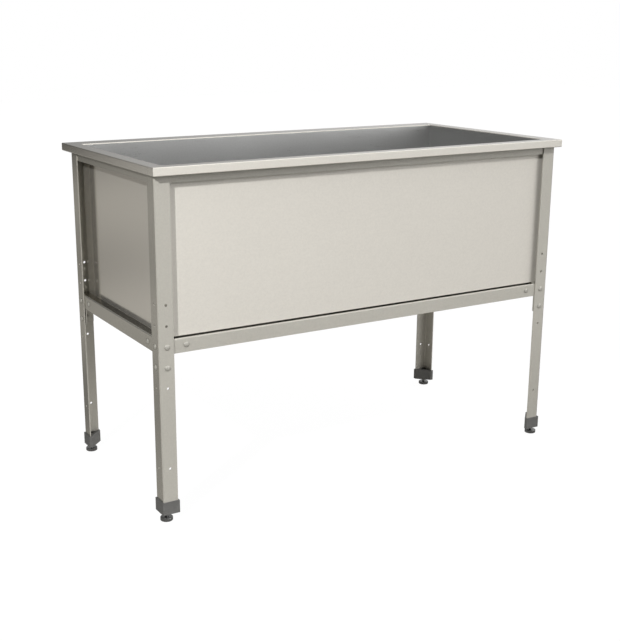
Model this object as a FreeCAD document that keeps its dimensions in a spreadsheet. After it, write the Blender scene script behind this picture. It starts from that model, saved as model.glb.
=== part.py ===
import FreeCAD, Part
import os
import Sketcher
from FreeCAD import Placement, Rotation, Vector

# Stainless utility sink: one deep welded basin on a bolted angle frame.
# Origin: on the floor under the centre of the rim. +X along the sink, -Y to the front, +Z up.

doc = FreeCAD.newDocument("utility_sink")
sizes = doc.addObject("Spreadsheet::Sheet", "Sizes")

drivingSizes = [
    ("rimLength", 1200.0, "length over the rim"),
    ("rimDepth", 600.0, "depth over the rim"),
    ("topHeight", 850.0, "floor to rim"),
    ("sheet", 1.2, "basin sheet thickness"),
    ("apron", 20.0, "height of the rim's turned-down edge"),
    ("hem", 5.0, "inward return under the apron"),
    ("sheetBend", 1.0, "inside radius of the sheet's bends"),
    ("rimEnd", 33.25, "rim width at each end"),
    ("rimFront", 31.0, "rim width at the front"),
    ("rimBack", 60.5, "rim width at the back"),
    ("endOverhang", 8.5, "rim beyond the legs at each end"),
    ("frontOverhang", 18.0, "rim beyond the front legs"),
    ("backOverhang", 46.5, "rim beyond the back legs"),
    ("floorHeight", 453.5, "underside of the basin"),
    ("angleWidth", 38.25, "flange width of a leg"),
    ("angleThick", 2.8, "thickness of legs and rails"),
    ("angleBend", 2.0, "inside radius of the angles' bends"),
    ("legBottom", 23.0, "lower end of a leg above the floor"),
    ("holeEdge", 20.6, "leg's outer corner to its line of holes"),
    ("holePitch", 50.0, "pitch of the holes"),
    ("holeDrop", 19.5, "basin's underside to the row of holes through leg and rail"),
    ("boltClear", 0.2, "bolt holes over the bolts"),
    ("topBoltDrop", 12.0, "rim to the bolts behind the apron"),
    ("topRailDrop", 39.0, "rim to the lower edge of the top rails"),
    ("endRailHeight", 37.8, "height of the end rails"),
    ("longRailHeight", 35.4, "height of the front and back rails"),
    ("railShelf", 38.0, "inward flange of the lower rails"),
    ("longRailGap", 0.3, "long rails' gap to the end rails' bend"),
    ("endRailGap", 0.1, "end rails' gap to the leg's bend"),
    ("plateThick", 2.5, "corner plate thickness"),
    ("plateReach", 84.0, "corner plate along each rail"),
    ("plateGap", 0.4, "corner plate under the rails' bend"),
    ("plateArm", 28.5, "height of the plate's arm behind a rail"),
    ("plateTail", 37.25, "corner plate's tail along each flange, below the rail"),
    ("plateEnd", 14.0, "corner plate below its lowest bolt"),
    ("boltRadius", 3.0, "bolt shank"),
    ("boltLength", 14.0, "bolt shank under the head"),
    ("headRadius", 6.75, "domed bolt head"),
    ("headRim", 0.8, "straight edge of a bolt head"),
    ("headDome", 3.3, "height of a bolt head"),
    ("nutFlats", 10.0, "across the flats of a bolt's nut"),
    ("nutHeight", 5.0, "bolt's nut height"),
    ("nutClear", 0.05, "nut bore over the bolt"),
    ("spacerRadius", 6.5, "packing washer behind the lowest leg bolt"),
    ("capSkin", 3.0, "foot cap outside the leg"),
    ("capEdge", 41.5, "foot cap along each flange"),
    ("capFlat", 6.0, "foot cap's end face beside its slanted face"),
    ("capBottom", 18.5, "underside of the foot cap"),
    ("capTop", 50.5, "top of the foot cap"),
    ("capClear", 0.15, "leg's fit in the foot cap"),
    ("footInset", 12.2, "leg's outer corner to the foot's axis"),
    ("spindleRadius", 4.0, "foot spindle"),
    ("spindleTop", 48.0, "top of the foot spindle"),
    ("spindleBevel", 0.8, "bevel at the spindle's top"),
    ("collarRadius", 7.0, "collar held in the foot pad"),
    ("collarBottom", 2.6, "underside of the collar"),
    ("collarHeight", 2.6, "collar height"),
    ("padRadius", 15.4, "foot pad"),
    ("padHeight", 8.6, "foot pad height"),
    ("padBevel", 1.0, "bevel of the pad's edges"),
    ("padGrip", 1.2, "radius of the pad's grip notches"),
    ("padGripOut", 0.3, "centre of a grip notch outside the pad's edge"),
    ("padClear", 0.3, "pad's play round the spindle"),
    ("footNutFlats", 13.0, "across the flats of the foot nut"),
    ("footNutHeight", 6.5, "foot nut height"),
    ("footNutTop", 36.5, "top of the foot nut"),
    ("threadClear", 0.05, "foot nut bore over the spindle"),
    ("drainClear", 0.7, "hole in the basin floor over the waste's tube"),
    ("wasteFlange", 35.0, "radius of the waste's flange"),
    ("wasteFlangeThick", 1.6, "waste flange thickness"),
    ("wasteFlangeBevel", 1.0, "slope of the waste flange's edge"),
    ("wasteTube", 23.9, "outside of the waste's threaded tube"),
    ("wasteBore", 19.5, "inside of the waste's tube"),
    ("threadLength", 27.5, "waste's thread under the basin"),
    ("outletRadius", 20.0, "outside of the plain outlet under the thread"),
    ("outletBore", 17.8, "inside of the outlet"),
    ("outletLength", 40.0, "length of the outlet"),
    ("seatRadius", 25.5, "top radius of the plug's conical seat"),
    ("seatDepth", 5.2, "depth of the conical seat"),
    ("grateDrop", 18.3, "waste's flange to the top of its grate"),
    ("grateThick", 2.0, "grate thickness"),
    ("grateFit", 0.05, "grate's play in the tube"),
    ("grateHole", 3.2, "radius of the grate's holes"),
    ("grateRing", 12.0, "radius of the ring of grate holes"),
    ("gasketRadius", 33.0, "rubber washer under the floor"),
    ("gasketThick", 2.5, "rubber washer thickness"),
    ("backNutFlats", 60.0, "across the flats of the waste's nut"),
    ("backNutHeight", 10.0, "waste nut height"),
    ("wasteClear", 0.2, "nut and washer over the waste's tube"),
    ("plugLip", 31.0, "radius of the plug's lip"),
    ("plugLipThick", 3.0, "plug lip thickness"),
    ("plugLipSlope", 1.0, "slope of the lip's edge"),
    ("plugNeckDepth", 5.6, "straight part of the plug under its lip"),
    ("plugTaper", 1.2, "how much the plug narrows to its lower end"),
    ("plugDepth", 14.0, "plug below its lip"),
    ("plugKnob", 7.0, "radius of the plug's knob"),
    ("plugKnobTop", 16.0, "knob above the plug's lip"),
    ("plugKnobRound", 4.0, "height of the knob's rounded top"),
    ("plugKnobFlat", 5.5, "radius of the knob's flat top"),
    ("plugWaist", 4.5, "radius of the waist under the knob"),
    ("plugWaistTop", 6.0, "height of the waist above the lip"),
    ("plugRoot", 8.0, "radius at the waist's foot"),
    ("plugRootTop", 1.0, "height of the waist's foot"),
    ("plugClear", 0.7, "plug clear of the waste's bore"),
]
for row, (alias, number, note) in enumerate(drivingSizes, start=1):
    sizes.set("A%d" % row, note)
    sizes.set("B%d" % row, repr(number))
    sizes.setAlias("B%d" % row, alias)
doc.recompute()

# Sizes that follow from the driving ones, as expressions.
halfLength = "(Sizes.rimLength / 2)"
halfDepth = "(Sizes.rimDepth / 2)"
legHalfX = "(Sizes.rimLength / 2 - Sizes.endOverhang)"
legHalfY = "((Sizes.rimDepth - Sizes.frontOverhang - Sizes.backOverhang) / 2)"
frameMiddleY = "((Sizes.frontOverhang - Sizes.backOverhang) / 2)"
basinMiddleY = "((Sizes.rimFront - Sizes.rimBack) / 2)"
floorTop = "(Sizes.floorHeight + Sizes.sheet)"
behindRail = "(2 * Sizes.angleThick)"
underRim = "(Sizes.topHeight - Sizes.sheet)"
holeRadius = "(Sizes.boltRadius + Sizes.boltClear)"
holeRow = "(Sizes.floorHeight - Sizes.holeDrop)"
topBoltRow = "(Sizes.topHeight - Sizes.topBoltDrop)"
plateTop = "(Sizes.floorHeight - %s - Sizes.angleBend - Sizes.plateGap)" % behindRail
plateArmBottom = "(%s - Sizes.plateArm)" % plateTop
plateBottom = "(%s - Sizes.holePitch - Sizes.plateEnd)" % holeRow
wasteTop = "(%s + Sizes.wasteFlangeThick)" % floorTop
threadBottom = "(Sizes.floorHeight - Sizes.threadLength)"
outletBottom = "(%s - Sizes.outletLength)" % threadBottom
grateTop = "(%s - Sizes.grateDrop)" % wasteTop

overCut = 20  # how far the outline of a cut runs past the solid
padGrips = 16
grateHoles = 8

parts = []


def value(expression):
    return float(sizes.evalExpression(expression))


def newBody(label):
    body = doc.addObject("PartDesign::Body", label)
    body.Label = label
    parts.append(body)
    return body


def newSketch(body, name, plane, offset=None):
    sketch = body.newObject("Sketcher::SketchObject", name)
    role = plane + "_Plane"
    base = [feature for feature in body.Origin.OriginFeatures if feature.Role == role][0]
    sketch.AttachmentSupport = (base, "")
    sketch.MapMode = "FlatFace"
    if offset:
        sketch.setExpression(".AttachmentOffset.Base.z", offset)
    return sketch


def bind(sketch, kind, geometry, point, expression):
    if kind == "Radius":
        constraint = Sketcher.Constraint("Radius", geometry, value(expression))
    else:
        constraint = Sketcher.Constraint(kind, -1, 1, geometry, point, value(expression))
    index = sketch.addConstraint(constraint)
    sketch.setExpression("Constraints[%d]" % index, expression)


def addPolygon(sketch, corners):
    first = sketch.GeometryCount
    count = len(corners)
    places = [Vector(value(x), value(y), 0) for x, y in corners]
    for i in range(count):
        sketch.addGeometry(Part.LineSegment(places[i], places[(i + 1) % count]), False)
    for i in range(count):
        following = first + (i + 1) % count
        sketch.addConstraint(Sketcher.Constraint("Coincident", first + i, 2, following, 1))
    for i, (x, y) in enumerate(corners):
        bind(sketch, "DistanceX", first + i, 1, x)
        bind(sketch, "DistanceY", first + i, 1, y)


def addCircle(sketch, x, y, radius):
    centre = Vector(value(x), value(y), 0)
    index = sketch.addGeometry(Part.Circle(centre, Vector(0, 0, 1), value(radius)), False)
    bind(sketch, "DistanceX", index, 3, x)
    bind(sketch, "DistanceY", index, 3, y)
    bind(sketch, "Radius", index, 3, radius)


def pad(body, sketch, length, midplane=False):
    feature = body.newObject("PartDesign::Pad", sketch.Name + "Pad")
    feature.Profile = sketch
    feature.setExpression("Length", length)
    feature.Midplane = midplane
    sketch.Visibility = False
    doc.recompute()
    return feature


def cut(body, sketch, length=None, reverse=False, bothWays=False):
    before = body.Shape.Volume
    feature = body.newObject("PartDesign::Pocket", sketch.Name + "Cut")
    feature.Profile = sketch
    if length:
        feature.setExpression("Length", length)
    else:
        feature.Type = "ThroughAll"
    feature.Midplane = bothWays
    feature.Reversed = reverse
    sketch.Visibility = False
    doc.recompute()
    if not body.Shape.Volume < before - 1e-3:
        raise RuntimeError("%s removes nothing" % feature.Name)
    return feature


def turned(body, sketch):
    feature = body.newObject("PartDesign::Revolution", sketch.Name + "Turned")
    feature.Profile = sketch
    feature.ReferenceAxis = (sketch, ["V_Axis"])
    feature.Angle = 360
    sketch.Visibility = False
    doc.recompute()
    return feature


def roundEdges(body, radius, wanted):
    base = body.Tip
    names = []
    for i, edge in enumerate(base.Shape.Edges, start=1):
        box = edge.BoundBox
        if wanted(box.Center, box):
            names.append("Edge%d" % i)
    if not names:
        raise RuntimeError("no edges to round on " + body.Label)
    feature = body.newObject("PartDesign::Fillet", "Round%d%s" % (len(body.Group), body.Label))
    feature.Base = (base, names)
    feature.setExpression("Radius", radius)
    doc.recompute()
    return feature


def repeatRound(body, feature, name, count):
    ring = body.newObject("PartDesign::PolarPattern", name)
    ring.Originals = [feature]
    axis = [item for item in body.Origin.OriginFeatures if item.Role == "Z_Axis"][0]
    ring.Axis = (axis, [""])
    ring.Angle = 360
    ring.Occurrences = count
    body.Tip = ring
    doc.recompute()


def near(a, b):
    return abs(a - b) < 1e-3


def place(item, x="0", y="0", z="0", turn=None):
    if turn is not None:
        item.Placement = Placement(Vector(0, 0, 0), turn)
    item.setExpression(".Placement.Base.x", x)
    item.setExpression(".Placement.Base.y", y)
    item.setExpression(".Placement.Base.z", z)


def hexagon(flats):
    # Corners of a hexagon about the sketch's origin, flats facing up and down.
    half = "(%s / 2)" % flats
    tip = "(%s / sqrt(3))" % flats
    mid = "(%s / 2 / sqrt(3))" % flats
    return [(tip, "0"), (mid, half), ("-" + mid, half), ("-" + tip, "0"),
            ("-" + mid, "-" + half), (mid, "-" + half)]


def times(sign, expression):
    return expression if sign > 0 else "-" + expression


# ---- Basin: four folded walls that carry the rim, and a floor -------------------------

def basinWall(label, alongX, side, half, rim, runHalf, rimsAtEnds):
    # One sheet: wall, rim turned outwards, apron turned down, hem turned in.
    body = newBody(label)
    profile = newSketch(body, label + "Profile", "YZ" if alongX else "XZ")
    apronFoot = "(Sizes.topHeight - Sizes.apron)"

    def at(inwards):
        return times(side, "(%s - (%s))" % (half, inwards))

    inner = at("%s + Sizes.sheet" % rim)
    deep = at("%s + %d" % (rim, overCut))
    addPolygon(profile, [
        (at(rim), floorTop),
        (inner, floorTop),
        (inner, "Sizes.topHeight"),
        (at("0"), "Sizes.topHeight"),
        (at("0"), apronFoot),
        (at("Sizes.hem"), apronFoot),
        (at("Sizes.hem"), "%s + Sizes.sheet" % apronFoot),
        (at("Sizes.sheet"), "%s + Sizes.sheet" % apronFoot),
        (at("Sizes.sheet"), underRim),
        (at(rim), underRim),
    ])
    pad(body, profile, "2 * %s" % runHalf, midplane=True)

    def crossing(box):
        return box.Center.y if alongX else box.Center.x

    def isLong(box):
        return (box.XLength if alongX else box.YLength) > value(runHalf)

    outside = [(inner, "Sizes.topHeight"), (at("0"), "Sizes.topHeight"), (at("0"), apronFoot)]
    inside = [(at(rim), underRim), (at("Sizes.sheet"), underRim),
              (at("Sizes.sheet"), "%s + Sizes.sheet" % apronFoot)]
    for radius, corners in (("Sizes.sheetBend + Sizes.sheet", outside), ("Sizes.sheetBend", inside)):
        spots = [(value(c), value(z)) for c, z in corners]
        roundEdges(body, radius, lambda centre, box: isLong(box) and any(
            near(crossing(box), c) and near(centre.z, z) for c, z in spots))

    mitre = newSketch(body, label + "Mitre", "XY")
    for end, rimAtEnd in zip((-1, 1), rimsAtEnds):
        corner = times(end, "(%s - %s)" % (runHalf, rimAtEnd))
        insideCorner = times(end, "(%s - %s - Sizes.sheet)" % (runHalf, rimAtEnd))
        beyond = times(end, "(%s + %d)" % (runHalf, overCut))
        shape = [
            (times(end, runHalf), at("0")),
            (corner, at(rim)),
            (insideCorner, inner),
            (insideCorner, deep),
            (beyond, deep),
            (beyond, at("0")),
        ]
        addPolygon(mitre, shape if alongX else [(y, x) for x, y in shape])
    cut(body, mitre, "2 * Sizes.topHeight + %d" % overCut, bothWays=True)
    return body


endRims = ("Sizes.rimEnd", "Sizes.rimEnd")
longRims = ("Sizes.rimFront", "Sizes.rimBack")
basinWall("basin_wall_front", True, -1, halfDepth, "Sizes.rimFront", halfLength, endRims)
basinWall("basin_wall_back", True, 1, halfDepth, "Sizes.rimBack", halfLength, endRims)
basinWall("basin_wall_left", False, -1, halfLength, "Sizes.rimEnd", halfDepth, longRims)
basinWall("basin_wall_right", False, 1, halfLength, "Sizes.rimEnd", halfDepth, longRims)

basinHalfX = "(Sizes.rimLength / 2 - Sizes.rimEnd)"
basinHalfY = "((Sizes.rimDepth - Sizes.rimFront - Sizes.rimBack) / 2)"
basinFloor = newBody("basin_floor")
place(basinFloor, y=basinMiddleY, z="Sizes.floorHeight")
floorOutline = newSketch(basinFloor, "FloorOutline", "XY")
addPolygon(floorOutline, [
    ("-" + basinHalfX, "-" + basinHalfY),
    (basinHalfX, "-" + basinHalfY),
    (basinHalfX, basinHalfY),
    ("-" + basinHalfX, basinHalfY),
])
pad(basinFloor, floorOutline, "Sizes.sheet")
drainOutline = newSketch(basinFloor, "DrainOutline", "XY")
addCircle(drainOutline, "0", "0", "Sizes.wasteTube + Sizes.drainClear")
cut(basinFloor, drainOutline, reverse=True)


# ---- Frame ---------------------------------------------------------------------------

# Corner name, signs of its leg's place, and the turn that points its flanges inwards.
corners = [
    ("front_left", -1, -1, 0),
    ("front_right", 1, -1, 90),
    ("back_right", 1, 1, 180),
    ("back_left", -1, 1, 270),
]


def placeAtCorner(item, signX, signY, angle):
    turn = Rotation(Vector(0, 0, 1), angle)
    place(item, times(signX, legHalfX), "%s + %s" % (times(signY, legHalfY), frameMiddleY), turn=turn)


def angleOutline(start, width, thick):
    return [
        (start, start),
        (width, start),
        (width, "%s + %s" % (start, thick)),
        ("%s + %s" % (start, thick), "%s + %s" % (start, thick)),
        ("%s + %s" % (start, thick), width),
        (start, width),
    ]


# Rows of holes in a leg, counted in pitches from the row that goes through the rail.
legHoleRows = [-6, -2, -1, 0, 1, 2]


def makeLeg(name, signX, signY, angle):
    leg = newBody("leg_" + name)
    outline = newSketch(leg, "LegOutline_" + name, "XY", offset="Sizes.legBottom")
    addPolygon(outline, angleOutline("0", "Sizes.angleWidth", "Sizes.angleThick"))
    pad(leg, outline, "%s - Sizes.legBottom" % underRim)
    thick = value("Sizes.angleThick")
    upright = value("Sizes.topHeight / 2")
    for radius, spot in (("Sizes.angleBend + Sizes.angleThick / 2", 0.0), ("Sizes.angleBend", thick)):
        roundEdges(leg, radius, lambda centre, box: box.ZLength > upright and near(centre.x, spot)
                   and near(centre.y, spot))
    for plane in ("XZ", "YZ"):
        holes = newSketch(leg, "LegHoles%s_%s" % (plane, name), plane)
        heights = ["%s + %d * Sizes.holePitch" % (holeRow, k) for k in legHoleRows]
        for height in heights + [topBoltRow]:
            addCircle(holes, "Sizes.holeEdge", height, holeRadius)
        cut(leg, holes, "3 * Sizes.angleThick", bothWays=True)
    placeAtCorner(leg, signX, signY, angle)


for name, signX, signY, angle in corners:
    makeLeg(name, signX, signY, angle)


def railHoles(rail, label, alongX, runHalf, height, distances):
    holes = newSketch(rail, label + "Holes", "XZ" if alongX else "YZ")
    for end in (-1, 1):
        for distance in distances:
            across = times(end, "(%s - (%s))" % (runHalf, distance))
            addCircle(holes, across, height, holeRadius)
    return holes


def lowerRail(label, alongX, side, crossHalf, runHalf, setback, high, top):
    # Angle section: outer flange behind the legs, shelf turned in under the basin.
    rail = newBody(label)
    profile = newSketch(rail, label + "Profile", "YZ" if alongX else "XZ")
    face = times(side, "(%s - Sizes.angleThick)" % crossHalf)
    inner = times(side, "(%s - 2 * Sizes.angleThick)" % crossHalf)
    shelf = times(side, "(%s - Sizes.angleThick - Sizes.railShelf)" % crossHalf)
    shelfUnder = "(%s - Sizes.angleThick)" % top
    bottom = "(%s - %s)" % (top, high)
    addPolygon(profile, [
        (face, bottom),
        (inner, bottom),
        (inner, shelfUnder),
        (shelf, shelfUnder),
        (shelf, top),
        (face, top),
    ])
    pad(rail, profile, "2 * (%s - %s)" % (runHalf, setback), midplane=True)

    def crossing(centre):
        return centre.y if alongX else centre.x

    def isLong(box):
        return (box.XLength if alongX else box.YLength) > value(runHalf)

    bends = ((face, top, "Sizes.angleBend + Sizes.angleThick / 2"), (inner, shelfUnder, "Sizes.angleBend"))
    for across, height, radius in bends:
        roundEdges(rail, radius, lambda centre, box: isLong(box) and near(crossing(centre), value(across))
                   and near(centre.z, value(height)))
    distances = ["Sizes.holeEdge", "Sizes.holeEdge + Sizes.holePitch"]
    holes = railHoles(rail, label, alongX, runHalf, holeRow, distances)
    cut(rail, holes, reverse=(side < 0) == alongX)
    place(rail, y=frameMiddleY)


longTop = "(Sizes.floorHeight - Sizes.angleThick)"
endTop = "Sizes.floorHeight"
longSetback = "(2 * Sizes.angleThick + Sizes.angleBend + Sizes.longRailGap)"
endSetback = "(Sizes.angleThick + Sizes.angleBend + Sizes.endRailGap)"
lowerRail("lower_rail_front", True, -1, legHalfY, legHalfX, longSetback,
          "Sizes.longRailHeight", longTop)
lowerRail("lower_rail_back", True, 1, legHalfY, legHalfX, longSetback,
          "Sizes.longRailHeight", longTop)
lowerRail("lower_rail_left", False, -1, legHalfX, legHalfY, endSetback,
          "Sizes.endRailHeight", endTop)
lowerRail("lower_rail_right", False, 1, legHalfX, legHalfY, endSetback,
          "Sizes.endRailHeight", endTop)


def topRail(label, alongX, side, crossHalf, runHalf, setback):
    # Flat bar behind the legs that carries the rim.
    rail = newBody(label)
    profile = newSketch(rail, label + "Profile", "YZ" if alongX else "XZ")
    face = times(side, "(%s - Sizes.angleThick)" % crossHalf)
    inner = times(side, "(%s - 2 * Sizes.angleThick)" % crossHalf)
    bottom = "(Sizes.topHeight - Sizes.topRailDrop)"
    addPolygon(profile, [
        (face, bottom),
        (inner, bottom),
        (inner, underRim),
        (face, underRim),
    ])
    pad(rail, profile, "2 * (%s - %s)" % (runHalf, setback), midplane=True)
    holes = railHoles(rail, label, alongX, runHalf, topBoltRow, ["Sizes.holeEdge"])
    cut(rail, holes, reverse=(side < 0) == alongX)
    place(rail, y=frameMiddleY)


topRail("top_rail_front", True, -1, legHalfY, legHalfX, longSetback)
topRail("top_rail_back", True, 1, legHalfY, legHalfX, longSetback)
topRail("top_rail_left", False, -1, legHalfX, legHalfY, endSetback)
topRail("top_rail_right", False, 1, legHalfX, legHalfY, endSetback)


def cornerPlate(name, signX, signY, angle):
    # Folded plate inside the corner: an arm along each rail and a tail down behind the leg.
    plate = newBody("corner_plate_" + name)
    outline = newSketch(plate, "PlateOutline_" + name, "XY", offset=plateBottom)
    addPolygon(outline, angleOutline(behindRail, "Sizes.plateReach", "Sizes.plateThick"))
    pad(plate, outline, "%s - %s" % (plateTop, plateBottom))
    for plane in ("XZ", "YZ"):
        notch = newSketch(plate, "PlateNotch%s_%s" % (plane, name), plane)
        under = "%s - %d" % (plateBottom, overCut)
        outside = "Sizes.plateReach + %d" % overCut
        addPolygon(notch, [
            ("Sizes.plateTail", under),
            (outside, under),
            (outside, plateArmBottom),
            ("Sizes.plateTail", plateArmBottom),
        ])
        cut(plate, notch, "2 * Sizes.plateReach", bothWays=True)
        holes = newSketch(plate, "PlateHoles%s_%s" % (plane, name), plane)
        addCircle(holes, "Sizes.holeEdge", holeRow, holeRadius)
        addCircle(holes, "Sizes.holeEdge + Sizes.holePitch", holeRow, holeRadius)
        addCircle(holes, "Sizes.holeEdge", "%s - Sizes.holePitch" % holeRow, holeRadius)
        cut(plate, holes, "2 * %s + 3 * Sizes.plateThick" % behindRail, bothWays=True)
    placeAtCorner(plate, signX, signY, angle)


for name, signX, signY, angle in corners:
    cornerPlate(name, signX, signY, angle)


# ---- Bolts, nuts and packing washers --------------------------------------------------

def hiddenBody(label):
    body = newBody(label)
    parts.remove(body)
    return body


boltBody = hiddenBody("bolt")
boltProfile = newSketch(boltBody, "BoltProfile", "XZ")
# The dome: shares of the head's radius and of the height above its straight edge.
domeSteps = [(0.82, 0.55), (0.5, 0.88), (0.2, 1)]
dome = [("Sizes.headRadius * %g" % out, "Sizes.headRim + (Sizes.headDome - Sizes.headRim) * %g" % up)
        for out, up in domeSteps]
addPolygon(boltProfile, [
    ("0", "-Sizes.boltLength"),
    ("Sizes.boltRadius", "-Sizes.boltLength"),
    ("Sizes.boltRadius", "0"),
    ("Sizes.headRadius", "0"),
    ("Sizes.headRadius", "Sizes.headRim"),
    *dome,
    ("0", "Sizes.headDome"),
])
turned(boltBody, boltProfile)

nutBody = hiddenBody("nut")
nutOutline = newSketch(nutBody, "NutOutline", "XY")
addPolygon(nutOutline, hexagon("Sizes.nutFlats"))
addCircle(nutOutline, "0", "0", "Sizes.boltRadius + Sizes.nutClear")
pad(nutBody, nutOutline, "Sizes.nutHeight")

spacerBody = hiddenBody("spacer")
spacerOutline = newSketch(spacerBody, "SpacerOutline", "XY")
addCircle(spacerOutline, "0", "0", "Sizes.spacerRadius")
addCircle(spacerOutline, "0", "0", holeRadius)
pad(spacerBody, spacerOutline, "Sizes.angleThick")

# Each bolt: distance along the flange, height, depth of the head's seat and of the nut's face.
nutOnPlate = "(%s + Sizes.plateThick)" % behindRail
rowBelow = "%s - Sizes.holePitch" % holeRow
boltSpots = [
    ("Sizes.holeEdge", holeRow, "0", nutOnPlate),
    ("Sizes.holeEdge", rowBelow, "0", nutOnPlate),
    ("Sizes.holeEdge + Sizes.holePitch", holeRow, "Sizes.angleThick", nutOnPlate),
    ("Sizes.holeEdge", topBoltRow, "0", behindRail),
]
spacerSpots = [("Sizes.holeEdge", rowBelow, "Sizes.angleThick")]

outFromFront = Rotation(Vector(1, 0, 0), 90)
outFromSide = Rotation(Vector(0, 1, 0), -90)


def linksAt(source, label, along, height, depth, flip):
    # The same fastener on both flanges of a corner, its axis pointing out of the flange.
    over = Rotation(Vector(1, 0, 0), 180) if flip else Rotation()
    front = doc.addObject("App::Link", label + "Front")
    front.LinkedObject = source
    place(front, along, depth, height, turn=outFromFront.multiply(over))
    side = doc.addObject("App::Link", label + "Side")
    side.LinkedObject = source
    place(side, depth, along, height, turn=outFromSide.multiply(over))
    return [front, side]


def fastenerGroup(label, source, spots, flip, signX, signY, angle):
    links = []
    for i, (along, height, depth) in enumerate(spots):
        links += linksAt(source, "%s_%d" % (label, i), along, height, depth, flip)
    group = doc.addObject("Part::Compound", label)
    group.Label = label
    group.Links = links
    placeAtCorner(group, signX, signY, angle)
    parts.append(group)


for name, signX, signY, angle in corners:
    heads = [(along, height, seat) for along, height, seat, nutFace in boltSpots]
    backs = [(along, height, nutFace) for along, height, seat, nutFace in boltSpots]
    fastenerGroup("bolts_" + name, boltBody, heads, False, signX, signY, angle)
    fastenerGroup("nuts_" + name, nutBody, backs, True, signX, signY, angle)
    fastenerGroup("spacers_" + name, spacerBody, spacerSpots, True, signX, signY, angle)


# ---- Feet -----------------------------------------------------------------------------

def footCap(name, signX, signY, angle):
    # Moulded corner cap on the leg's end, with a nut let into its top.
    cap = newBody("foot_cap_" + name)
    outline = newSketch(cap, "CapOutline_" + name, "XY", offset="Sizes.capBottom")
    addPolygon(outline, [
        ("-Sizes.capSkin", "-Sizes.capSkin"),
        ("Sizes.capEdge", "-Sizes.capSkin"),
        ("Sizes.capEdge", "Sizes.capFlat"),
        ("Sizes.capFlat", "Sizes.capEdge"),
        ("-Sizes.capSkin", "Sizes.capEdge"),
    ])
    pad(cap, outline, "Sizes.capTop - Sizes.capBottom")
    slot = newSketch(cap, "CapSlot_" + name, "XY", offset="Sizes.legBottom - Sizes.capClear")
    slotStart = "-Sizes.capClear"
    slotEnd = "Sizes.angleWidth + Sizes.capClear"
    slotInner = "Sizes.angleThick + Sizes.capClear"
    slotBend = "Sizes.angleThick + Sizes.capClear + Sizes.angleBend"
    addPolygon(slot, [
        (slotStart, slotStart),
        (slotEnd, slotStart),
        (slotEnd, slotInner),
        (slotBend, slotInner),
        (slotInner, slotBend),
        (slotInner, slotEnd),
        (slotStart, slotEnd),
    ])
    cut(cap, slot, reverse=True)
    nutSeat = newSketch(cap, "CapNutSeat_" + name, "XY", offset="Sizes.footNutTop - Sizes.footNutHeight")
    seat = hexagon("(Sizes.footNutFlats + 2 * Sizes.capClear)")
    moved = [("Sizes.footInset + " + x, "Sizes.footInset + " + y) for x, y in seat]
    addPolygon(nutSeat, moved)
    cut(cap, nutSeat, reverse=True)
    way = newSketch(cap, "CapWay_" + name, "XY")
    addCircle(way, "Sizes.footInset", "Sizes.footInset", "Sizes.spindleRadius + Sizes.padClear")
    cut(cap, way, reverse=True)
    skin = value("-Sizes.capSkin")
    upright = value("(Sizes.capTop - Sizes.capBottom) / 2")
    roundEdges(cap, "Sizes.capSkin / 2", lambda centre, box: box.ZLength > upright
               and near(centre.x, skin) and near(centre.y, skin))
    placeAtCorner(cap, signX, signY, angle)


def footNut(name, signX, signY, angle):
    nut = newBody("foot_nut_" + name)
    outline = newSketch(nut, "FootNutOutline_" + name, "XY",
                        offset="Sizes.footNutTop - Sizes.footNutHeight")
    flats = hexagon("Sizes.footNutFlats")
    addPolygon(outline, [("Sizes.footInset + " + x, "Sizes.footInset + " + y) for x, y in flats])
    addCircle(outline, "Sizes.footInset", "Sizes.footInset", "Sizes.spindleRadius + Sizes.threadClear")
    pad(nut, outline, "Sizes.footNutHeight")
    placeAtCorner(nut, signX, signY, angle)


def footAxis(signX, signY):
    x = times(signX, "(%s - Sizes.footInset)" % legHalfX)
    y = times(signY, "(%s - Sizes.footInset)" % legHalfY)
    return x, "%s + %s" % (y, frameMiddleY)


def footSpindle(name, signX, signY):
    spindle = newBody("foot_spindle_" + name)
    profile = newSketch(spindle, "SpindleProfile_" + name, "XZ")
    collarTop = "Sizes.collarBottom + Sizes.collarHeight"
    addPolygon(profile, [
        ("0", "Sizes.collarBottom"),
        ("Sizes.collarRadius", "Sizes.collarBottom"),
        ("Sizes.collarRadius", collarTop),
        ("Sizes.spindleRadius", collarTop),
        ("Sizes.spindleRadius", "Sizes.spindleTop - Sizes.spindleBevel"),
        ("Sizes.spindleRadius - Sizes.spindleBevel", "Sizes.spindleTop"),
        ("0", "Sizes.spindleTop"),
    ])
    turned(spindle, profile)
    x, y = footAxis(signX, signY)
    place(spindle, x, y)


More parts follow.
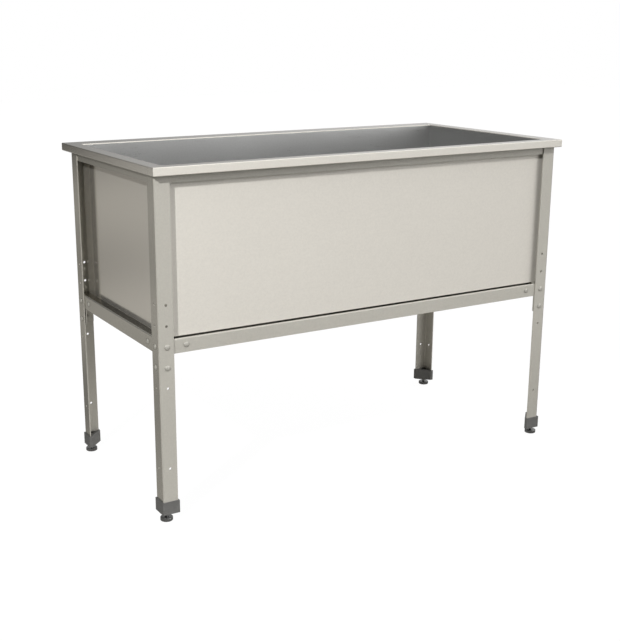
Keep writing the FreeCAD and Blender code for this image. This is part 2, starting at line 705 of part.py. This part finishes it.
def footPad(name, signX, signY):
    # Moulded disc closed round the spindle's collar, notched for the fingers.
    disc = newBody("foot_pad_" + name)
    profile = newSketch(disc, "PadProfile_" + name, "XZ")
    cavityTop = "Sizes.collarBottom + Sizes.collarHeight + Sizes.padClear"
    cavityBottom = "Sizes.collarBottom - Sizes.padClear"
    addPolygon(profile, [
        ("0", "0"),
        ("Sizes.padRadius - Sizes.padBevel", "0"),
        ("Sizes.padRadius", "Sizes.padBevel"),
        ("Sizes.padRadius", "Sizes.padHeight - Sizes.padBevel"),
        ("Sizes.padRadius - Sizes.padBevel", "Sizes.padHeight"),
        ("Sizes.spindleRadius + Sizes.padClear", "Sizes.padHeight"),
        ("Sizes.spindleRadius + Sizes.padClear", cavityTop),
        ("Sizes.collarRadius + Sizes.padClear", cavityTop),
        ("Sizes.collarRadius + Sizes.padClear", cavityBottom),
        ("0", cavityBottom),
    ])
    turned(disc, profile)
    grip = newSketch(disc, "PadGrip_" + name, "XY")
    addCircle(grip, "Sizes.padRadius + Sizes.padGripOut", "0", "Sizes.padGrip")
    notch = cut(disc, grip, reverse=True)
    repeatRound(disc, notch, "PadGrips_" + name, padGrips)
    x, y = footAxis(signX, signY)
    place(disc, x, y)


for name, signX, signY, angle in corners:
    footCap(name, signX, signY, angle)
    footNut(name, signX, signY, angle)
    footSpindle(name, signX, signY)
    footPad(name, signX, signY)


# ---- Waste in the middle of the basin floor -------------------------------------------

waste = newBody("waste_flange")
wasteProfile = newSketch(waste, "WasteProfile", "XZ")
addPolygon(wasteProfile, [
    ("Sizes.outletBore", outletBottom),
    ("Sizes.outletRadius", outletBottom),
    ("Sizes.outletRadius", threadBottom),
    ("Sizes.wasteTube", threadBottom),
    ("Sizes.wasteTube", floorTop),
    ("Sizes.wasteFlange", floorTop),
    ("Sizes.wasteFlange - Sizes.wasteFlangeBevel", wasteTop),
    ("Sizes.seatRadius", wasteTop),
    ("Sizes.wasteBore", "%s - Sizes.seatDepth" % wasteTop),
    ("Sizes.wasteBore", threadBottom),
    ("Sizes.outletBore", threadBottom),
])
turned(waste, wasteProfile)

grate = newBody("waste_grate")
grateOutline = newSketch(grate, "GrateOutline", "XY", offset="%s - Sizes.grateThick" % grateTop)
addCircle(grateOutline, "0", "0", "Sizes.wasteBore - Sizes.grateFit")
pad(grate, grateOutline, "Sizes.grateThick")
middleHole = newSketch(grate, "GrateMiddleHole", "XY")
addCircle(middleHole, "0", "0", "Sizes.grateHole")
cut(grate, middleHole, reverse=True)
ringHole = newSketch(grate, "GrateRingHole", "XY")
addCircle(ringHole, "Sizes.grateRing", "0", "Sizes.grateHole")
repeatRound(grate, cut(grate, ringHole, reverse=True), "GrateHoles", grateHoles)

gasket = newBody("waste_gasket")
gasketOutline = newSketch(gasket, "GasketOutline", "XY", offset="Sizes.floorHeight - Sizes.gasketThick")
addCircle(gasketOutline, "0", "0", "Sizes.gasketRadius")
addCircle(gasketOutline, "0", "0", "Sizes.wasteTube + Sizes.wasteClear")
pad(gasket, gasketOutline, "Sizes.gasketThick")

backNut = newBody("waste_nut")
backNutOutline = newSketch(backNut, "BackNutOutline", "XY",
                           offset="Sizes.floorHeight - Sizes.gasketThick - Sizes.backNutHeight")
addPolygon(backNutOutline, hexagon("Sizes.backNutFlats"))
addCircle(backNutOutline, "0", "0", "Sizes.wasteTube + Sizes.wasteClear")
pad(backNut, backNutOutline, "Sizes.backNutHeight")

# The plug's lip rests on the waste flange; the rest hangs clear inside the tube.
plug = newBody("drain_plug")
plugProfile = newSketch(plug, "PlugProfile", "XZ")
lipTop = "(%s + Sizes.plugLipThick)" % wasteTop
knobTop = "(%s + Sizes.plugKnobTop)" % lipTop
plugNeck = "(Sizes.wasteBore - Sizes.plugClear)"
addPolygon(plugProfile, [
    ("0", "%s - Sizes.plugDepth" % wasteTop),
    ("%s - Sizes.plugTaper" % plugNeck, "%s - Sizes.plugDepth" % wasteTop),
    (plugNeck, "%s - Sizes.plugNeckDepth" % wasteTop),
    (plugNeck, wasteTop),
    ("Sizes.plugLip", wasteTop),
    ("Sizes.plugLip - Sizes.plugLipSlope", lipTop),
    ("Sizes.plugRoot", "%s + Sizes.plugRootTop" % lipTop),
    ("Sizes.plugWaist", "%s + Sizes.plugWaistTop" % lipTop),
    ("Sizes.plugKnob", "%s - Sizes.plugKnobRound" % knobTop),
    ("Sizes.plugKnobFlat", knobTop),
    ("0", knobTop),
])
turned(plug, plugProfile)

for piece in (waste, grate, gasket, backNut, plug):
    place(piece, y=basinMiddleY)

# ---- Check and write ------------------------------------------------------------------

doc.recompute()
for item in doc.Objects:
    if any(word in state for state in item.State for word in ("Invalid", "Error")):
        raise RuntimeError("%s: %s" % (item.Name, item.State))
os.makedirs("parts", exist_ok=True)
for part in parts:
    shape = part.Shape
    if shape.isNull() or not shape.isValid():
        raise RuntimeError(part.Label + " is not a valid shape")
    shape.exportStep("parts/%s.step" % part.Label)
print(len(parts), "nodes written")
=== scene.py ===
import bpy
import bmesh
import math
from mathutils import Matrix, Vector

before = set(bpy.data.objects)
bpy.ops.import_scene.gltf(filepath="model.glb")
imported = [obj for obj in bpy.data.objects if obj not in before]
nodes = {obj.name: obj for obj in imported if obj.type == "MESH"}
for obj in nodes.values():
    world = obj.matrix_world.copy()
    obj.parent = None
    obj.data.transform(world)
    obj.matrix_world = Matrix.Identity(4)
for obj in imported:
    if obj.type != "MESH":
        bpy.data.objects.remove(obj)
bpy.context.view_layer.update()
print("frame loaded,", len(nodes), "nodes")

camera = dict(
    place=(-1.52806, -2.46590, 1.14986),  # metres from the floor under the rim's centre
    turnLeft=-30.02,                      # degrees from looking along +Y
    tiltDown=15.155,                      # degrees
    focal=1077.22,                        # pixels, in a 620 x 641 picture
    axisAt=(281.87, 316.50),              # where the lens axis meets the picture
    picture=(620, 641),
    sensor=36,                            # millimetres along the picture's longer side
    nearest=0.05,                         # metres, nothing nearer is drawn
    farthest=60,
)


def makeCamera():
    data = bpy.data.cameras.new("photoCamera")
    obj = bpy.data.objects.new("photoCamera", data)
    bpy.context.scene.collection.objects.link(obj)
    wide, high = camera["picture"]
    longSide = max(wide, high)
    data.sensor_width = camera["sensor"]
    data.lens = camera["focal"] * data.sensor_width / longSide
    data.shift_x = (wide / 2 - camera["axisAt"][0]) / longSide
    data.shift_y = (camera["axisAt"][1] - high / 2) / longSide
    data.clip_start = camera["nearest"]
    data.clip_end = camera["farthest"]
    obj.location = camera["place"]
    upright = math.radians(90 - camera["tiltDown"])
    obj.rotation_euler = (upright, 0, math.radians(camera["turnLeft"]))
    bpy.context.scene.camera = obj


makeCamera()


def wire(tree, kind, *inputs, operation=None, **settings):
    # One node: numbers go into its sockets, outputs of other nodes are linked in.
    node = tree.nodes.new(kind)
    if operation:
        node.operation = operation
    for socket, given in list(enumerate(inputs)) + list(settings.items()):
        if isinstance(given, bpy.types.NodeSocket):
            tree.links.new(given, node.inputs[socket])
        else:
            node.inputs[socket].default_value = given
    return node.outputs[0] if node.outputs else None


def sums(tree, operation, *inputs):
    return wire(tree, "ShaderNodeMath", *inputs, operation=operation)


keyLight = dict(place=(-3.2, -2.2, 2.85), aim=(-0.5, -0.3, 0.7), size=0.12, power=112)
# Soft parts of the surroundings: degrees round from the front towards the left,
# degrees up, strength.
skyGlows = (
    (-45, 12, 3.2),
    (-45, 38, 1.2),
    (-90, 50, 1.6),
    (-135, 12, 0.80),
    (-165, 55, 1.2),
)
skySharpness = 8
# Light from the floor: x, y, spread and strength.
floorGlows = (
    (0, 0, 0.5, 1.1),
    (1.4, -1.8, 0.8, 1.6),
    (-1.8, -0.2, 0.8, 0.9),
    (-1.3, 1.4, 0.8, 0.26),
    (-2.6, 4.2, 3.0, 0.37),
    (-1.2, -1.8, 0.8, 0.50),
)
floorWarmth = (1.0, 0.97, 0.91, 1)
floorSeen = dict(
    reach=14,    # metres each way
    glow=0.97,   # white to the eye
    tone=0.06,   # with a trace of shadow under the feet
)


def glowDirection(around, up):
    turn, lift = math.radians(around), math.radians(up)
    return (-math.sin(turn) * math.cos(lift), -math.cos(turn) * math.cos(lift), math.sin(lift))


def makeSurroundings():
    # The eye sees plain white, the sink is lit by the soft glows.
    world = bpy.data.worlds.new("studio")
    bpy.context.scene.world = world
    world.use_nodes = True
    tree = world.node_tree
    tree.nodes.clear()
    where = wire(tree, "ShaderNodeTexCoord").node.outputs["Generated"]
    total = 0
    for around, up, strength in skyGlows:
        near = wire(tree, "ShaderNodeVectorMath", where, glowDirection(around, up),
                    operation="DOT_PRODUCT")
        near = sums(tree, "MAXIMUM", near.node.outputs["Value"], 0)
        lobe = sums(tree, "POWER", near, skySharpness)
        total = sums(tree, "MULTIPLY_ADD", lobe, strength, total)
    lit = wire(tree, "ShaderNodeBackground", Strength=total)
    seen = wire(tree, "ShaderNodeBackground", (1, 1, 1, 1), 1)
    toEye = wire(tree, "ShaderNodeLightPath").node.outputs["Is Camera Ray"]
    wire(tree, "ShaderNodeOutputWorld", wire(tree, "ShaderNodeMixShader", toEye, lit, seen))


def makeFloor():
    mesh = bpy.data.meshes.new("floor")
    shape = bmesh.new()
    bmesh.ops.create_grid(shape, x_segments=1, y_segments=1, size=floorSeen["reach"])
    shape.to_mesh(mesh)
    shape.free()
    floor = bpy.data.objects.new("floor", mesh)
    bpy.context.scene.collection.objects.link(floor)
    paint = bpy.data.materials.new("paleFloor")
    paint.use_nodes = True
    tree = paint.node_tree
    tree.nodes.clear()
    dull = wire(tree, "ShaderNodeBsdfDiffuse", (floorSeen["tone"],) * 3 + (1,))
    white = wire(tree, "ShaderNodeEmission", Strength=floorSeen["glow"])
    seen = wire(tree, "ShaderNodeAddShader", dull, white)
    where = wire(tree, "ShaderNodeTexCoord").node.outputs["Object"]
    total = 0
    for x, y, spread, strength in floorGlows:
        away = wire(tree, "ShaderNodeVectorMath", where, (x, y, 0), operation="DISTANCE")
        near = sums(tree, "DIVIDE", away.node.outputs["Value"], spread)
        near = sums(tree, "MULTIPLY", sums(tree, "MULTIPLY", near, near), -1)
        total = sums(tree, "MULTIPLY_ADD", sums(tree, "EXPONENT", near), strength, total)
    lit = wire(tree, "ShaderNodeEmission", floorWarmth, total)
    toEye = wire(tree, "ShaderNodeLightPath").node.outputs["Is Camera Ray"]
    wire(tree, "ShaderNodeOutputMaterial", wire(tree, "ShaderNodeMixShader", toEye, lit, seen))
    mesh.materials.append(paint)


def makeKeyLight():
    data = bpy.data.lights.new("keyLight", "AREA")
    data.shape = "DISK"
    data.size = keyLight["size"]
    data.energy = keyLight["power"]
    lamp = bpy.data.objects.new("keyLight", data)
    bpy.context.scene.collection.objects.link(lamp)
    lamp.location = keyLight["place"]
    facing = Vector(keyLight["aim"]) - lamp.location
    lamp.rotation_euler = facing.to_track_quat("-Z", "Y").to_euler()


makeSurroundings()
makeFloor()
makeKeyLight()
bpy.context.scene.view_settings.view_transform = "Standard"
print("camera, floor and lights ready")

grainLook = dict(
    scratches=dict(Scale=1, Detail=4, Roughness=0.65),   # scaled by the group's Stretch
    clouds=dict(Scale=3.2, Detail=5, Roughness=0.6),
    specks=dict(Scale=210, Detail=2, Roughness=0.5),
    scratchTone=0.07,   # how far scratches change the tone
    gloss=0.10,         # how far scratches and clouds change the roughness
    speckHeight=0.5,    # against the scratches' height
    depth=0.0002,       # metres, of the whole relief
)
mottleLook = dict(
    detail=6,
    darkUpTo=0.3,       # noise below this is darkest, above the next is lightest
    lightFrom=0.7,
    gloss=0.06,         # how far the roughness goes either way
    bump=0.3,
)
noiseMiddle = 0.5


def newMaterial(name):
    material = bpy.data.materials.new(name)
    material.use_nodes = True
    tree = material.node_tree
    shader = tree.nodes["Principled BSDF"]
    return material, tree, shader


def groupSockets(group, inputs, outputs):
    for way, sockets in (("INPUT", inputs), ("OUTPUT", outputs)):
        for name, kind in sockets:
            group.interface.new_socket(name, in_out=way, socket_type="NodeSocket" + kind)
    return group.nodes.new("NodeGroupInput").outputs, group.nodes.new("NodeGroupOutput").inputs


def useGroup(tree, group, **values):
    node = tree.nodes.new("ShaderNodeGroup")
    node.node_tree = group
    for name, value in values.items():
        node.inputs[name].default_value = value
    return node


def groundGrainGroup():
    # Fine parallel scratches of a ground sheet, with cloudy patches and small specks.
    group = bpy.data.node_groups.new("groundGrain", "ShaderNodeTree")
    given, made = groupSockets(
        group,
        (("Stretch", "Vector"), ("Tone", "Color"), ("Cloud", "Float"), ("Speck", "Float"),
         ("Rough", "Float")),
        (("Color", "Color"), ("Roughness", "Float"), ("Height", "Float")))
    where = wire(group, "ShaderNodeTexCoord").node.outputs["Object"]
    stretched = wire(group, "ShaderNodeVectorMath", where, given["Stretch"], operation="MULTIPLY")
    lines = wire(group, "ShaderNodeTexNoise", Vector=stretched, **grainLook["scratches"])
    clouds = wire(group, "ShaderNodeTexNoise", Vector=where, **grainLook["clouds"])
    specks = wire(group, "ShaderNodeTexNoise", Vector=where, **grainLook["specks"])
    line = sums(group, "SUBTRACT", lines, noiseMiddle)
    cloud = sums(group, "SUBTRACT", clouds, noiseMiddle)
    speck = sums(group, "SUBTRACT", specks, noiseMiddle)
    tone = sums(group, "MULTIPLY_ADD", line, grainLook["scratchTone"], 1)
    tone = sums(group, "MULTIPLY_ADD", cloud, given["Cloud"], tone)
    tone = sums(group, "MULTIPLY_ADD", speck, given["Speck"], tone)
    tinted = wire(group, "ShaderNodeVectorMath", given["Tone"], Scale=tone, operation="SCALE")
    group.links.new(tinted, made["Color"])
    rough = sums(group, "MULTIPLY_ADD", line, grainLook["gloss"], given["Rough"])
    rough = sums(group, "MULTIPLY_ADD", cloud, grainLook["gloss"], rough)
    group.links.new(rough, made["Roughness"])
    height = sums(group, "MULTIPLY_ADD", speck, grainLook["speckHeight"], lines)
    group.links.new(height, made["Height"])
    return group


def insideTubGroup():
    # Mask: 1 on the faces that look into the tub, 0 on rim, apron and outside.
    group = bpy.data.node_groups.new("insideTub", "ShaderNodeTree")
    given, made = groupSockets(
        group, (("Middle", "Vector"), ("Half", "Vector")), (("Mask", "Float"),))
    where = wire(group, "ShaderNodeTexCoord").node.outputs["Object"]
    offset = wire(group, "ShaderNodeVectorMath", where, given["Middle"], operation="SUBTRACT")
    away = wire(group, "ShaderNodeVectorMath", offset, operation="ABSOLUTE")
    depth = wire(group, "ShaderNodeVectorMath", given["Half"], away, operation="SUBTRACT")
    split = wire(group, "ShaderNodeSeparateXYZ", depth).node.outputs
    least = sums(group, "MINIMUM", sums(group, "MINIMUM", split["X"], split["Y"]), split["Z"])
    group.links.new(sums(group, "GREATER_THAN", least, 0), made["Mask"])
    return group


def mottleGroup():
    # A fine mottle in tone, gloss and relief, as on moulded, turned or plated pieces.
    group = bpy.data.node_groups.new("mottle", "ShaderNodeTree")
    given, made = groupSockets(
        group,
        (("Tone", "Color"), ("Spread", "Float"), ("Rough", "Float"), ("Scale", "Float")),
        (("Color", "Color"), ("Roughness", "Float"), ("Height", "Float")))
    where = wire(group, "ShaderNodeTexCoord").node.outputs["Object"]
    noise = wire(group, "ShaderNodeTexNoise", Vector=where, Scale=given["Scale"],
                 Detail=mottleLook["detail"])
    dark = sums(group, "SUBTRACT", 1, given["Spread"])
    light = sums(group, "ADD", 1, given["Spread"])
    shade = wire(group, "ShaderNodeMapRange", noise, mottleLook["darkUpTo"],
                 mottleLook["lightFrom"], dark, light)
    tinted = wire(group, "ShaderNodeVectorMath", given["Tone"], Scale=shade, operation="SCALE")
    group.links.new(tinted, made["Color"])
    middle = sums(group, "SUBTRACT", noise, noiseMiddle)
    rough = sums(group, "MULTIPLY_ADD", middle, 2 * mottleLook["gloss"], given["Rough"])
    group.links.new(rough, made["Roughness"])
    group.links.new(noise, made["Height"])
    return group


grainGroup = groundGrainGroup()
insideGroup = insideTubGroup()
mottling = mottleGroup()


def groundSteel(name, stretch, look, inside=None):
    # Satin steel: soft and light seen square on, mirroring its surroundings at a low angle.
    material, tree, shader = newMaterial(name)
    grain = useGroup(tree, grainGroup, Stretch=stretch, Tone=look["tone"] + (1,),
                     Cloud=look["cloud"], Speck=look["speck"])
    facing = wire(tree, "ShaderNodeLayerWeight", 0.5).node.outputs["Facing"]
    turn = wire(tree, "ShaderNodeMapRange", facing, look["turnFrom"], look["turnTo"])
    metal = sums(tree, "MULTIPLY_ADD", turn, look["metalLow"] - look["metal"], look["metal"])
    rough = sums(tree, "MULTIPLY_ADD", turn, look["roughLow"] - look["rough"], look["rough"])
    # Painted shade: seen in another face of the sink, by any ray but the camera's, its colour is
    # darkened, which stands in for the shade in the sink's corners and recesses.
    toEye = wire(tree, "ShaderNodeLightPath").node.outputs["Is Camera Ray"]
    bounceShadeScale = sums(tree, "MULTIPLY_ADD", toEye, 1 - look["shadeInBounces"], look["shadeInBounces"])
    color = wire(tree, "ShaderNodeVectorMath", grain.outputs["Color"], Scale=bounceShadeScale,
                 operation="SCALE")
    if inside:
        mask = useGroup(tree, insideGroup, Middle=tub["middle"], Half=tub["half"])
        within = mask.outputs["Mask"]
        metal = wire(tree, "ShaderNodeMix", within, A=metal, B=inside["metal"])
        rough = wire(tree, "ShaderNodeMix", within, A=rough, B=inside["rough"])
        # Painted shade: the faces inside the tub's hollow get a darker colour, along with a
        # cooler tone of steel.
        change = [share - 1 for share in inside["coolToneAndHollowShade"]]
        coolToneAndHollowShade = wire(tree, "ShaderNodeVectorMath", within, change, (1, 1, 1),
                    operation="MULTIPLY_ADD")
        color = wire(tree, "ShaderNodeVectorMath", color, coolToneAndHollowShade, operation="MULTIPLY")
    tree.links.new(rough, grain.inputs["Rough"])
    tree.links.new(color, shader.inputs["Base Color"])
    tree.links.new(metal, shader.inputs["Metallic"])
    tree.links.new(grain.outputs["Roughness"], shader.inputs["Roughness"])
    bump = wire(tree, "ShaderNodeBump", Strength=look["bump"], Distance=grainLook["depth"],
                Height=grain.outputs["Height"])
    tree.links.new(bump, shader.inputs["Normal"])
    return material


# metal and rough are what it is seen square on, metalLow and roughLow at a low angle.
# The share of the tone kept when seen in another face of the sink is painted shade for its
# corners and recesses.
sheetLook = dict(
    tone=(0.828, 0.793, 0.722), cloud=0.05, speck=0.12, bump=0.2, shadeInBounces=0.7,
    metal=0.0, metalLow=0.94, rough=0.40, roughLow=0.08, turnFrom=0.30, turnTo=0.72)
angleLook = dict(
    tone=(0.59, 0.569, 0.509), cloud=0.06, speck=0.15, bump=0.2, shadeInBounces=0.7,
    metal=0.05, metalLow=1.0, rough=0.40, roughLow=0.10, turnFrom=0.30, turnTo=0.74)
boltLook = dict(
    tone=(0.56, 0.545, 0.49), cloud=0.05, speck=0.10, bump=0.2, shadeInBounces=0.6,
    metal=0.15, metalLow=0.8, rough=0.42, roughLow=0.25, turnFrom=0.30, turnTo=0.80)
# Inside the tub the colour is cooler and darker: partly a cooler steel, partly painted shade in
# the hollow.
insideLook = dict(coolToneAndHollowShade=(0.86, 0.90, 0.975), metal=0.85, rough=0.30)
# The tub's hollow, from its inner faces up to just under the rim's face.
tub = dict(middle=(0, -0.01475, 0.65), half=(0.5661, 0.2536, 0.1975))
fine, coarse = 900, 14   # grain frequency across and along the scratches
alongX = (coarse, fine, fine)
alongY = (fine, coarse, fine)
alongZ = (fine, fine, coarse)
evenly = (160, 160, 160)
sheetX = groundSteel("groundSheetLong", alongX, sheetLook, insideLook)
sheetY = groundSteel("groundSheetEnd", alongY, sheetLook, insideLook)
angleX = groundSteel("groundAngleLong", alongX, angleLook)
angleY = groundSteel("groundAngleEnd", alongY, angleLook)
angleZ = groundSteel("groundAngleUpright", alongZ, angleLook)
boltSteel = groundSteel("boltSteel", evenly, boltLook)


def mottled(name, tone, rough, scale, metal=0.0, spread=0.08, depth=0.0001):
    material, tree, shader = newMaterial(name)
    mottle = useGroup(tree, mottling, Tone=tone + (1,), Spread=spread, Rough=rough, Scale=scale)
    tree.links.new(mottle.outputs["Color"], shader.inputs["Base Color"])
    tree.links.new(mottle.outputs["Roughness"], shader.inputs["Roughness"])
    bump = wire(tree, "ShaderNodeBump", Strength=mottleLook["bump"], Distance=depth,
                Height=mottle.outputs["Height"])
    tree.links.new(bump, shader.inputs["Normal"])
    shader.inputs["Metallic"].default_value = metal
    return material


spindleSteel = mottled("spindleSteel", (0.30, 0.30, 0.295), 0.34, 160, metal=0.9, spread=0.05)
capPlastic = mottled("capPlastic", (0.170, 0.168, 0.162), 0.55, 90, depth=0.0002)
padPlastic = mottled("padPlastic", (0.20, 0.20, 0.198), 0.24, 90, metal=0.6)
wasteSteel = mottled("wasteSteel", (0.78, 0.78, 0.77), 0.16, 120, metal=1.0, spread=0.03)
nutPlastic = mottled("wasteNutPlastic", (0.80, 0.80, 0.78), 0.45, 70, spread=0.03)
plugRubber = mottled("plugRubber", (0.022, 0.022, 0.023), 0.62, 140, depth=0.0003)
print("finishes ready")

easing = dict(
    joinWithin=0.00001,   # metres, between the corners of loose facets
    flatUpTo=1,           # degrees between facets of one flat face
    edgeFrom=35,          # degrees, what counts as an edge
)


def ease(name, material, width, segments):
    # Rounds the edges of a CAD piece a little and gives it its finish.
    piece = nodes[name]
    piece.data.materials.clear()
    piece.data.materials.append(material)
    weld = piece.modifiers.new("joinedFacets", "WELD")
    weld.merge_threshold = easing["joinWithin"]
    flat = piece.modifiers.new("flatFaces", "DECIMATE")
    flat.decimate_type = "DISSOLVE"
    flat.angle_limit = math.radians(easing["flatUpTo"])
    bevel = piece.modifiers.new("easedEdges", "BEVEL")
    bevel.width = width
    bevel.segments = segments
    bevel.limit_method = "ANGLE"
    bevel.angle_limit = math.radians(easing["edgeFrom"])
    bevel.use_clamp_overlap = True
    piece.modifiers.new("evenShading", "WEIGHTED_NORMAL").keep_sharp = True


# How the names of the pieces start (the first row that fits counts), their finish,
# the width of the eased edge in metres, and its segments.
finishes = (
    (("basin_wall_front", "basin_wall_back", "basin_floor"), sheetX, 0.0002, 1),
    (("basin_wall_",), sheetY, 0.0002, 1),
    (("leg_", "corner_plate_"), angleZ, 0.0002, 1),
    (("lower_rail_front", "lower_rail_back", "top_rail_front", "top_rail_back"),
     angleX, 0.0004, 2),
    (("lower_rail_", "top_rail_"), angleY, 0.0004, 2),
    (("bolts_", "nuts_", "spacers_"), boltSteel, 0.0002, 1),
    (("foot_nut_", "foot_spindle_"), spindleSteel, 0.0003, 2),
    (("foot_cap_",), capPlastic, 0.0010, 3),
    (("foot_pad_",), padPlastic, 0.0004, 2),
    (("waste_flange", "waste_grate"), wasteSteel, 0.0004, 2),
    (("waste_nut",), nutPlastic, 0.0008, 2),
    (("waste_gasket", "drain_plug"), plugRubber, 0.0006, 2),
)
for name in nodes:
    for starts, material, width, segments in finishes:
        if name.startswith(starts):
            ease(name, material, width, segments)
            break
print("pieces finished")
